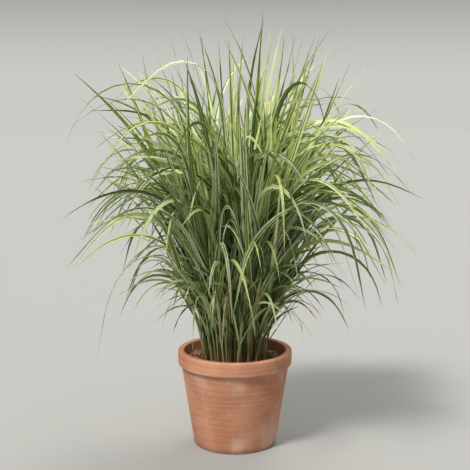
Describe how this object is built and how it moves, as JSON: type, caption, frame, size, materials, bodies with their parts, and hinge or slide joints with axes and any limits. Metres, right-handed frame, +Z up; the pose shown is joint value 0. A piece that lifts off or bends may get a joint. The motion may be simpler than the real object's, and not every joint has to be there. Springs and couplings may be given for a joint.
{
  "type": "potted ornamental grass",
  "caption": "Clump of arching, cream-striped miscanthus grass shoots in moist soil with bark mulch, in a plain tapered terracotta pot.",
  "frame": {"origin": "middle of the pot's flat underside, on the ground", "axes": "+Z straight up, from the pot to the leaf tips; -Y towards the viewer of the front; +X to the viewer's right"},
  "size_m": [1.4673, 1.2875, 1.8535],
  "materials": {
    "terracotta": "matte",
    "soil": "matte",
    "bark": "matte",
    "leaf": "satin"
  },
  "bodies": {
    "root": {"pot": "terracotta", "soil": "soil", "mulch": "bark", "tiller_01": "leaf", "tiller_02": "leaf", "tiller_03": "leaf", "tiller_04": "leaf", "tiller_05": "leaf", "tiller_06": "leaf", "tiller_07": "leaf", "tiller_08": "leaf", "tiller_09": "leaf", "tiller_10": "leaf", "tiller_11": "leaf", "tiller_12": "leaf", "tiller_13": "leaf", "tiller_14": "leaf", "tiller_15": "leaf", "tiller_16": "leaf", "tiller_17": "leaf", "tiller_18": "leaf", "tiller_19": "leaf", "tiller_20": "leaf", "tiller_21": "leaf", "tiller_22": "leaf", "tiller_23": "leaf", "tiller_24": "leaf", "tiller_25": "leaf", "tiller_26": "leaf", "tiller_27": "leaf", "tiller_28": "leaf", "tiller_29": "leaf", "tiller_30": "leaf", "tiller_31": "leaf", "tiller_32": "leaf", "tiller_33": "leaf", "tiller_34": "leaf", "tiller_35": "leaf", "tiller_36": "leaf", "tiller_37": "leaf", "tiller_38": "leaf", "tiller_39": "leaf", "tiller_40": "leaf"}
  },
  "joints": []
}
